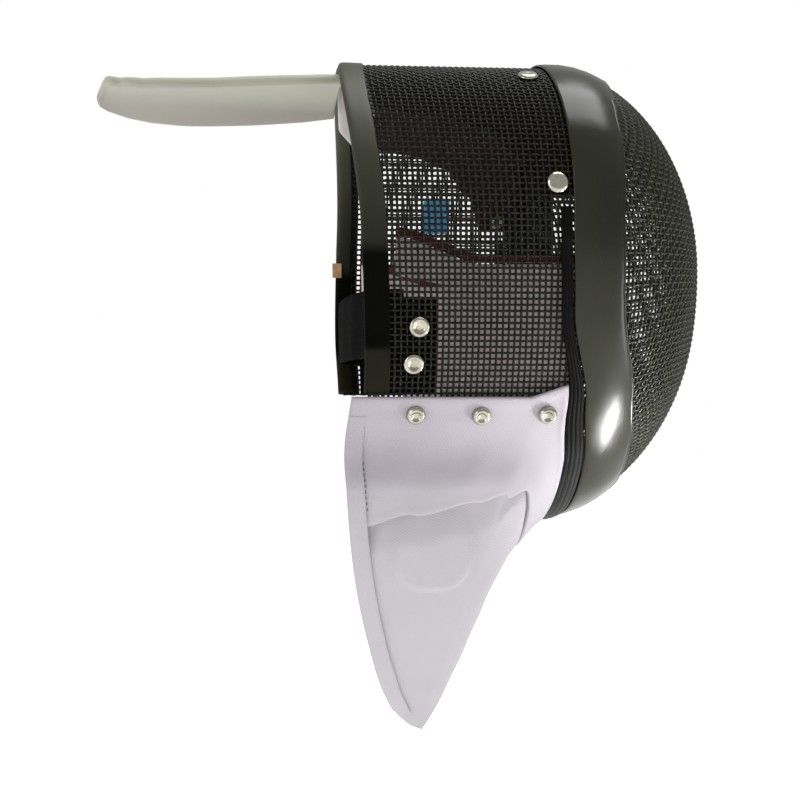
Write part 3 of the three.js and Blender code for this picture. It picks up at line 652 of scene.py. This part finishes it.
# Rear trim. Columns: distance in from the rear edge, height over the wire
TRIM_PROFILE = [
    [11.8, 0.4], [11.7, 0.7], [11.1, 0.85], [8, 0.95], [4, 1.05], [1.5, 1.1], [0, 1.0], [-1, 0.7], [-1.65, 0.1],
    [-1.75, -1.1], [-1.65, -2.5], [-1, -3.4], [0, -3.8], [1.5, -3.9], [3.5, -3.85], [5, -3.75], [6.9, -3.55],
    [7.4, -3.35], [7.5, -2.7],
]


def make_trim():
    end = float(angle_at_drop(191))
    angle = np.linspace(-end, end, 261)
    rows = np.array(TRIM_PROFILE)
    a = np.repeat(angle[:, None], len(rows), 1)
    wave = (0.1 * np.sin(angle * 17) + 0.08 * np.sin(angle * 41 + 2))[:, None]
    inset = rows[None, :, 0] + wave * (rows[None, :, 0] > 7.7)
    outer = over_wire(a, rear_y(a) - inset, rows[None, :, 1])
    inner_in = np.where(rows[:, 0] < -0.4, -0.4, rows[:, 0])
    inner_height = np.clip(rows[:, 1], -2.6, 0.4)
    inner = over_wire(a, rear_y(a) - inner_in[None, :] - wave * (rows[None, :, 0] > 7.7), inner_height[None, :])
    trim = sheet("rear_edge_trim", outer, inner, TRIM)
    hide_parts("rear_trim")


# Bib edges. Columns: share of the way down, x, y, drop
BIB_REAR = [
    [0, 88, 61.5, 191.7], [0.14, 86, 64.5, 221], [0.3, 80, 63, 252], [0.48, 68, 58.7, 287],
    [0.66, 51, 51.2, 321], [0.85, 29, 39.3, 358], [0.95, 14, 29.2, 377], [1, 5, 21.1, 385],
]
BIB_FRONT = [
    [0, 0, -54.6, 267.5], [0.08, 0, -46, 276], [0.18, 0, -35, 289], [0.5, 0, -17.5, 326],
    [0.8, 0, -3, 360], [0.95, 0, 6, 380], [1, 0, 12, 389],
]
BIB_OUTER = 2.8
FAR_SIDE_PULL = 16.5
JAW_DROP = 185.2
TUCK_GAP = 1.7
CLOTH_WALL = 2.0


def bib_top(share, height):
    sign = np.where(share < 0, -1.0, 1.0)
    a = np.abs(share)
    t = np.clip((a - 0.5) / 0.5, 0, 1)
    jaw = float(angle_at_drop(JAW_DROP))
    front = float(welt_rear_y(np.array(jaw))) + 0.4
    rear = BIB_REAR[0][2] - np.where(sign > 0, FAR_SIDE_PULL, 0.0)
    drop = mix(JAW_DROP, BIB_REAR[0][3], np.minimum(t * 6, 1))
    back_angle = angle_at_drop(drop)
    chin_angle = mix(math.pi, jaw, np.clip(a / 0.5, 0, 1))
    back = a >= 0.5
    angle = np.where(back, back_angle, chin_angle) * sign
    y = np.where(back, mix(front, rear, t), welt_rear_y(chin_angle) + 0.4)
    return over_wire(angle, y, height)


def bib_point(share, t):
    share, t = np.broadcast_arrays(np.asarray(share, float), np.asarray(t, float))
    sign = np.where(share < 0, -1.0, 1.0)
    turn = np.abs(share) * math.pi / 2
    out = np.sin(turn) ** 0.8
    back = 1 - np.maximum(np.cos(turn), 0) ** 0.8

    def level(v):
        rear = smooth_row(BIB_REAR, v)
        front = smooth_row(BIB_FRONT, v)
        pull = np.where(sign > 0, FAR_SIDE_PULL * (1 - v * v), 0)
        x = sign * rear[..., 0] * out
        y = mix(front[..., 1], rear[..., 1] - pull, back)
        return np.stack([x, y, CROWN_Z - mix(front[..., 2], rear[..., 2], back)], -1)

    point = level(t)
    lift = bib_top(share, BIB_OUTER) - level(np.zeros_like(t))
    point = point + lift * ((1 - t) ** 2.2)[..., None]
    drop = CROWN_Z - point[..., 2]
    hold = 1 - smoothstep(drop, 207, 244)
    angle = sign * angle_at_drop(np.clip(drop, 1, 264.4))
    held = over_wire(angle, np.maximum(point[..., 1], welt_rear_y(angle)), BIB_OUTER)
    return mix(point, held, hold[..., None])


def bib_out(share, t):
    share, t = np.broadcast_arrays(np.asarray(share, float), np.asarray(t, float))
    a, b = np.clip(share, -0.98, 0.98), np.clip(t, 0.01, 0.98)
    across = bib_point(a + 0.015, b) - bib_point(a - 0.015, b)
    along_t = bib_point(a, b + 0.01) - bib_point(a, b - 0.01)
    out = unit(np.cross(across, along_t))
    point = bib_point(share, t)
    middle = np.stack([np.zeros_like(share), np.full_like(share, 30.0), point[..., 2] + 20], -1)
    return np.where(np.sum(out * (point - middle), -1, keepdims=True) < 0, -out, out)


BIB_FOLD = [[0, 0.13], [0.38, 0.14], [0.5, 0.24], [0.6, 0.25], [0.8, 0.297], [1, 0.36]]


def fold_at(share):
    return along(BIB_FOLD, np.abs(share))


def wrinkles(point):
    """Soft dents and creases of the hanging cloth, in millimetres."""
    x, y, z = point[..., 0], point[..., 1], point[..., 2]
    soft = 0.7 * np.sin(y * 0.11 + z * 0.05 + 1.2 * np.sin(z * 0.03)) * np.sin(z * 0.07 + y * 0.02 + x * 0.01)
    fine = 0.25 * np.sin(y * 0.31 + 0.5 * np.sin(z * 0.2)) * np.sin(z * 0.13 + 2)
    return soft + fine


def panel(share, t):
    """Height of the rounded panel that is sewn on the apron's right side."""
    x, y, z = np.moveaxis(bib_point(share, t), -1, 0)
    far = (np.abs((y - 15) / 21.6) ** 3 + np.abs((z + 255) / 27) ** 3) ** (1 / 3)
    return 2.3 * (1 - smoothstep(far, 0.95, mix(1.0, 1.12, smoothstep(-z, 258, 275)))) * (x < 0)


def bib_surface(share, t, depth):
    point = bib_point(share, t)
    ease = smoothstep(t, 0.03, 0.12)
    return point + bib_out(share, t) * (depth + wrinkles(point) * ease)[..., None]


def make_stitches(sign, side):
    """A row of dark stitches beside the upper part of a hem."""
    points = []
    faces = []
    for k, t in enumerate(np.linspace(0.17, 0.3, 9)):
        width = 8.6 / np.linalg.norm(smooth_row(BIB_REAR, t) - smooth_row(BIB_FRONT, t))
        run = t + np.array([-0.0035, 0, 0.0035])
        for dx, height in ((-0.0025, 0), (0.0025, 0), (0, 0.45)):
            points += bib_surface(np.full(3, sign * (1 - width * 0.8 + dx)), run, height + 0 * run).tolist()
        first = 9 * k
        rows = [[first + 3 * r + c for c in range(3)] for r in range(3)]
        for one, two in ((rows[0], rows[2]), (rows[2], rows[1]), (rows[1], rows[0])):
            faces += [[one[c], one[c + 1], two[c + 1], two[c]] for c in range(2)]
        faces += [[row[0] for row in rows], [row[2] for row in rows][::-1]]
    make_mesh(f"bib_stitches_{side}", points, faces, THREAD)


def make_bib():
    share = np.linspace(-1, 1, 193)
    down = np.linspace(0, 1, 60)
    s = np.repeat(share[:, None], len(down), 1)
    t = down[None, :] * fold_at(s)
    roll = 0.5 * np.exp(-(((t - 0.012) / 0.01) ** 2))
    lip = 0.35 * smoothstep(down, 0.9, 0.97)[None, :] * (1 - smoothstep(down, 0.985, 1.0))[None, :]
    outer = bib_surface(s, t, roll + lip)
    inner = bib_surface(s, t, -CLOTH_WALL + 0 * t)
    upper = sheet("bib_upper_cloth", outer, inner, BIB)
    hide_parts("bib_upper")
    down = np.linspace(0, 1, 150)
    t = mix(fold_at(s[:, :1]) - 0.03, 1.0, down[None, :])
    s = np.repeat(share[:, None], len(down), 1)
    rearward = smoothstep(np.abs(s), 0.36, 0.5)
    fade = smoothstep(t, fold_at(s), fold_at(s) + mix(0.02, 0.09, rearward))
    tuck = (CLOTH_WALL + mix(0.3, TUCK_GAP, rearward)) * (1 - fade)
    outer = bib_surface(s, t, -tuck + panel(s, t) * fade)
    inner = bib_surface(s, t, -tuck - CLOTH_WALL)
    apron = sheet("bib_apron_cloth", outer, inner, BIB)
    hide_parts("bib_apron")
    hems = []
    for sign, side in ((-1, "right"), (1, "left")):
        t = np.linspace(0.045, 0.935, 160)
        width = 8 / np.linalg.norm(smooth_row(BIB_REAR, t) - smooth_row(BIB_FRONT, t), axis=-1)
        across = np.linspace(0, 1, 9)
        s = sign * (1 - width[:, None] * 0.8 * across[None, :])
        tt = np.repeat(t[:, None], 9, 1)
        body = np.sin(np.pi * np.clip(across, 0.04, 0.96)) ** 0.5
        start = smoothstep(t, 0.05, 0.15)[:, None]
        outer = bib_surface(s, tt, mix(0.03, 0.95 + 0.95 * body[None, :], start))
        inner = bib_surface(s, tt, mix(-0.3, 0.7, start) + 0 * tt)
        hem = sheet(f"bib_hem_cloth_{side}", outer, inner, BIB)
        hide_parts(f"bib_hem_{side}")
        hems.append(hem)
        make_stitches(sign, side)
    return upper, apron, hems


# Pads and liners inside the wire
PAD_EDGE_DROP = [[0, 84], [0.24, 85], [0.34, 62], [0.5, 44], [0.7, 36], [1, 32]]
PAD_FRONT_Y = -64.0
PAD_WALL = [[0, 14], [35, 11.6], [58, 6], [180, 6]]


def puffed(share_u, share_v, power=0.35):
    """Rounded edges of a stuffed piece: 0 at its rim, 1 inside."""
    rim = lambda q: np.clip(1 - np.abs(2 * q - 1) ** 8, 0, 1)
    return (rim(share_u) * rim(share_v)) ** power


def make_pads():
    s, c = np.meshgrid(np.linspace(0, 1, 70), np.linspace(0, 1, 161), indexing="ij")
    reach = angle_at_drop(along(PAD_EDGE_DROP, s))
    angle = reach * (2 * c - 1)
    y = mix(PAD_FRONT_Y, rear_y(angle) - 15.4, s)
    wall = around(PAD_WALL, angle)
    puff = puffed(s, c)
    seam = 1 - 0.25 * np.exp(-(((s - 0.5) / 0.02) ** 2)) - 0.2 * np.exp(-((np.degrees(angle) / 3) ** 2))
    outer = over_wire(angle, y, -PAD_INSET - 0.3 * wall * (1 - puff))
    inner = over_wire(angle, y, -PAD_INSET - wall * (0.4 + 0.6 * puff * seam))
    pad = sheet("crown_padding", outer, inner, PAD)
    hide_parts("crown_pad")
    for sign, side in ((-1, "right"), (1, "left")):
        s, t = np.meshgrid(np.linspace(0, 1, 50), np.linspace(0, 1, 50), indexing="ij")
        drop = mix(along([[0, 122], [0.55, 122], [1, 108]], s), 211.0, t)
        y = mix(PAD_FRONT_Y, along([[128, 38.6], [134, 13]], drop), s)
        angle = sign * angle_at_drop(drop)
        puff = puffed(s, t)
        outer = over_wire(angle, y, -PAD_INSET - 0.8 * (1 - puff))
        inner = over_wire(angle, y, -PAD_INSET - 4 * (0.5 + 0.5 * puff))
        liner = sheet(f"cheek_padding_{side}", outer, inner, LINER)
        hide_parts(f"cheek_liner_{side}")
        s, c = np.meshgrid(np.linspace(0, 1, 60), np.linspace(0, 1, 9), indexing="ij")
        drop = along([[0, 122], [0.55, 122], [1, 108]], s) - 0.4 - 5 * (1 - c)
        y = mix(PAD_FRONT_Y, 38.6, s)
        angle = sign * angle_at_drop(drop)
        round_edge = np.sin(np.pi * np.clip(c, 0.03, 0.97)) ** 0.5
        outer = over_wire(angle, y, -PAD_INSET - 1.2 * (1 - round_edge))
        inner = over_wire(angle, y, -PAD_INSET - 1.5 - 2.9 * round_edge)
        tape = sheet(f"liner_binding_tape_{side}", outer, inner, BINDING)
        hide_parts(f"liner_binding_{side}")


def patch(sign, top, bottom, front, rear, height, wall, name, material, slot, replaced):
    s, t = np.meshgrid(np.linspace(0, 1, 24), np.linspace(0, 1, 40), indexing="ij")
    angle = sign * angle_at_drop(mix(top, bottom, t))
    y = mix(front, rear, s)
    edge = 0.25 * (1 - puffed(s, t, 0.3))
    obj = sheet(name, over_wire(angle, y, height - edge), over_wire(angle, y, height - wall + edge), material)
    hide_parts(replaced)
    return obj


STRAP_Y = [[0, 58], [0.4, 57], [0.7, 53], [0.86, 46], [1, 34]]


def make_strap():
    for sign, side in ((-1, "right"), (1, "left")):
        patch(sign, 140, 192, 15.6, 40.5, -PAD_INSET, 2, f"strap_patch_cloth_{side}", ELASTIC, "black_elastic", f"strap_patch_{side}")
    inset = PAD_INSET + 2 + 0.4 + 0.8
    s, c = np.meshgrid(np.linspace(0, 1, 181), np.linspace(0, 1, 25), indexing="ij")

    def middle(s, c):
        share = 2 * s - 1
        out = np.abs(share)
        angle = np.where(share < 0, -1.0, 1.0) * angle_at_drop(155 + 38 * (c - 0.5))
        point = over_wire(angle, along(STRAP_Y, np.maximum(out, 0.86)), -inset)
        point[..., 0] *= np.minimum(out / 0.86, 1)
        point[..., 1] = along(STRAP_Y, out)
        return point

    cs, cc = np.clip(s, 0.011, 0.989), np.clip(c, 0.02, 0.98)
    normal = unit(np.cross(middle(cs + 0.01, cc) - middle(cs - 0.01, cc), middle(cs, cc + 0.02) - middle(cs, cc - 0.02)))
    ribs = 0.12 * np.sin(c * 2 * math.pi * 9)
    edge = 0.35 * np.abs(2 * c - 1) ** 10
    outer = middle(s, c) + normal * (0.8 + ribs - edge)[..., None]
    inner = middle(s, c) - normal * (0.8 + ribs - edge)[..., None]
    strap = sheet("rear_strap_elastic", outer, inner, ELASTIC)
    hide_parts("rear_strap")
    return strap


# Tongue. Columns: y, half width, fall of the edges below the ridge, drop of the ridge
TONGUE_ROWS = [
    [61.5, 38, 5.6, 9], [80, 42, 6.2, 10], [110, 44, 6, 12], [145, 42.5, 5.5, 14],
    [170, 37, 4.4, 15], [185, 29, 3, 15.6], [196, 17, 1.4, 16.4], [201.5, 4, 0.3, 17.2],
]


# What the right half adds to its width. Columns: y, extra width
TONGUE_EXTRA = [[130, 0], [170, 5], [185, 11], [194, 20], [201.5, 0]]


def make_tongue():
    stations = 61.5 + 140 * np.sin(np.linspace(0, 1, 121) * math.pi / 2) ** 1.1
    y, c = np.meshgrid(stations, np.linspace(0, 1, 61), indexing="ij")
    row = smooth_row(TONGUE_ROWS, np.clip(y, 61.5, 201.5))
    q = 2 * c - 1
    x = q * (row[..., 0] + np.where(q < 0, along(TONGUE_EXTRA, y), 0))
    top = CROWN_Z - row[..., 2] - row[..., 1] * q**2 - x * math.tan(math.radians(6.5))
    rim = np.clip(1 - np.abs(q) ** 22, 0, 1) ** 0.5
    nose = np.clip((201.5 - y) / 1.5, 0.05, 1) ** 0.5
    half = 3.0 * (0.35 + 0.65 * rim) * nose
    seam = 0.2 * np.exp(-(((np.abs(q) - 0.93) / 0.015) ** 2))
    soft = 0.25 * np.sin(y * 0.09 + x * 0.05) * np.sin(x * 0.11 + 1)
    outer = np.stack([x, y, top - 3 + half - seam + soft * rim], -1)
    inner = np.stack([x, y, top - 3 - half + seam], -1)
    tongue = sheet("tongue_padding", outer, inner, TONGUE)
    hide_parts("tongue")
    s, c = np.meshgrid(np.linspace(0, 1, 24), np.linspace(0, 1, 121), indexing="ij")
    a = angle_at_drop(mix(36, 20, s)) * (2 * c - 1)
    y = mix(rear_y(a) - 14.8, np.minimum(rear_y(a) - 0.4, 61.1), s)
    puff = puffed(s, c)
    outer = over_wire(a, y, -4.3 - 0.8 * (1 - puff))
    inner = over_wire(a, y, -4.3 - 9 * (0.4 + 0.6 * puff))
    base = sheet("tongue_base_lining", outer, inner, LINING)
    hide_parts("tongue_base")


# Rivets. Columns: name, y, drop, head radius, height of the head's foot, its rise, profile, back
DOMED = [[0, 0.86], [0.14, 0.9], [0.26, 0.97], [0.42, 1], [0.6, 0.97], [0.76, 0.84], [0.9, 0.58], [0.98, 0.28], [1, 0]]
RINGED = [[0, 0.4], [0.22, 0.42], [0.38, 0.52], [0.52, 0.84], [0.64, 1], [0.8, 0.96], [0.92, 0.7], [1, 0.3], [1, 0]]
RIVETS = [
    ["rivet_crown", -41, 13, 6, 0.5, 2.0, DOMED, -16.2],
    ["rivet_temple", -48.5, 78, 6, 0.5, 2.0, DOMED, -9.4],
    ["rivet_strap_upper", 26, 155.7, 5.8, 0.5, 2.2, RINGED, -5.4],
    ["rivet_strap_lower", 28.5, 175.4, 5.8, 0.5, 2.2, RINGED, -5.4],
    ["rivet_bib_rear", 26.5, 201.5, 5.2, 3.3, 3.0, RINGED, -2.7],
    ["rivet_bib_middle", -9.5, 202, 5.2, 3.3, 3.0, RINGED, -7.8],
    ["rivet_bib_front", -46, 201.5, 5.2, 3.3, 3.0, RINGED, -7.8],
]


def make_rivets():
    turns = np.linspace(0, 2 * math.pi, 41)[:-1]
    for name, y, drop, radius, foot, rise, shape, back in RIVETS:
        for sign, side in ((-1, "right"), (1, "left")):
            angle = np.array(sign * float(angle_at_drop(drop)))
            centre = wire_point(angle, y)
            axis = wire_normal(angle, np.array(float(y)))
            across = unit(np.cross(axis, [0, 0, 1]))
            up = np.cross(across, axis)
            rings = [[radius * r, foot + rise * h] for r, h in shape]
            rings += [[2, foot], [2, back], [radius * 0.75, back], [radius * 0.8, back - 0.5], [radius * 0.7, back - 1.2], [2, back - 1.2], [1.6, back - 0.8]]
            points = []
            for r, h in rings:
                points.append(centre + axis * h + r * (np.cos(turns)[:, None] * across + np.sin(turns)[:, None] * up))
            grid = np.array(points)
            n = len(turns)
            index = np.arange(len(rings) * n).reshape(len(rings), n)
            turned = np.roll(index, -1, axis=1)
            faces = np.stack([index[:-1], index[1:], turned[1:], turned[:-1]], -1).reshape(-1, 4).tolist()
            faces.append(index[-1].tolist())
            head = make_mesh(f"{name}_head_{side}", grid, faces, RIVET)
            outward(head)
            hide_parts(f"{name}_{side}")


face_wires()
side_wires()
make_band()
make_welt()
make_trim()
upper, apron, hems = make_bib()
make_pads()
make_strap()
make_tongue()
patch(1, 64, 87, -18.5, -1.5, -PAD_INSET, 0.8, "side_tag_cloth", TAG, "blue_tag", "side_tag")
patch(1, 107, 116.5, 51.4, 57.4, -4.3, 1, "trim_tab_leather", TAB, "tan_tab", "trim_tab")
make_rivets()


# Stage, lights and camera
def make_stage():
    floor_material, nodes, links, shader = shade("floor_paper", (0.9, 0.9, 0.9), 0.95)
    shader.inputs["Emission Color"].default_value = (1, 1, 1, 1)
    shader.inputs["Emission Strength"].default_value = 0.62
    size = 6.0
    low = -0.43
    data = bpy.data.meshes.new("floor")
    corners = [(-size, -size, low), (size, -size, low), (size, size, low), (-size, size, low)]
    data.from_pydata(corners, [], [(0, 1, 2, 3)])
    data.materials.append(floor_material)
    floor = bpy.data.objects.new("floor", data)
    bpy.context.scene.collection.objects.link(floor)
    world = bpy.data.worlds.new("studio")
    world.use_nodes = True
    nodes, links = world.node_tree.nodes, world.node_tree.links
    soft = nodes["Background"]
    soft.inputs["Color"].default_value = (1, 1, 1, 1)
    soft.inputs["Strength"].default_value = 0.5
    bright = node(nodes, "ShaderNodeBackground", Strength=1.0)
    bright.inputs["Color"].default_value = (1, 1, 1, 1)
    path = nodes.new("ShaderNodeLightPath")
    choose = nodes.new("ShaderNodeMixShader")
    links.new(path.outputs["Is Camera Ray"], choose.inputs[0])
    links.new(soft.outputs[0], choose.inputs[1])
    links.new(bright.outputs[0], choose.inputs[2])
    links.new(choose.outputs[0], nodes["World Output"].inputs["Surface"])
    bpy.context.scene.world = world
    bpy.context.scene.view_settings.view_transform = "Standard"


def area_light(name, place, target, size, power, spread=180):
    data = bpy.data.lights.new(name, "AREA")
    data.shape = "RECTANGLE"
    data.size, data.size_y = size
    data.energy = power
    data.spread = math.radians(spread)
    lamp = bpy.data.objects.new(name, data)
    lamp.location = place
    lamp.rotation_euler = (Vector(target) - Vector(place)).to_track_quat("-Z", "Y").to_euler()
    lamp.visible_camera = False
    bpy.context.scene.collection.objects.link(lamp)


CENTRE = (0, 0.025, -0.1779)
make_stage()
area_light("top", (0.08, -0.32, 1.3), CENTRE, (0.9, 1.0), 14)
area_light("front_low", (-0.35, -0.75, -0.38), (-0.05, -0.06, -0.2), (0.18, 0.5), 1.6)
area_light("floor_glow", (-0.16, -0.272, -0.405), (-0.081, -0.08, -0.191), (0.05, 0.13), 0.075, 30)
area_light("rear", (-0.9, 1.4, 0.3), CENTRE, (0.6, 1.0), 6)

camera = bpy.data.cameras.new("camera")
camera.lens = 80.85
camera.sensor_width = 36
view = bpy.data.objects.new("camera", camera)
yaw = math.radians(6.5)
ahead = Vector((math.cos(yaw), -math.sin(yaw), 0))
view.location = Vector(CENTRE) - ahead * 1.06
view.rotation_euler = ahead.to_track_quat("-Z", "Y").to_euler()
bpy.context.scene.collection.objects.link(view)
bpy.context.scene.camera = view
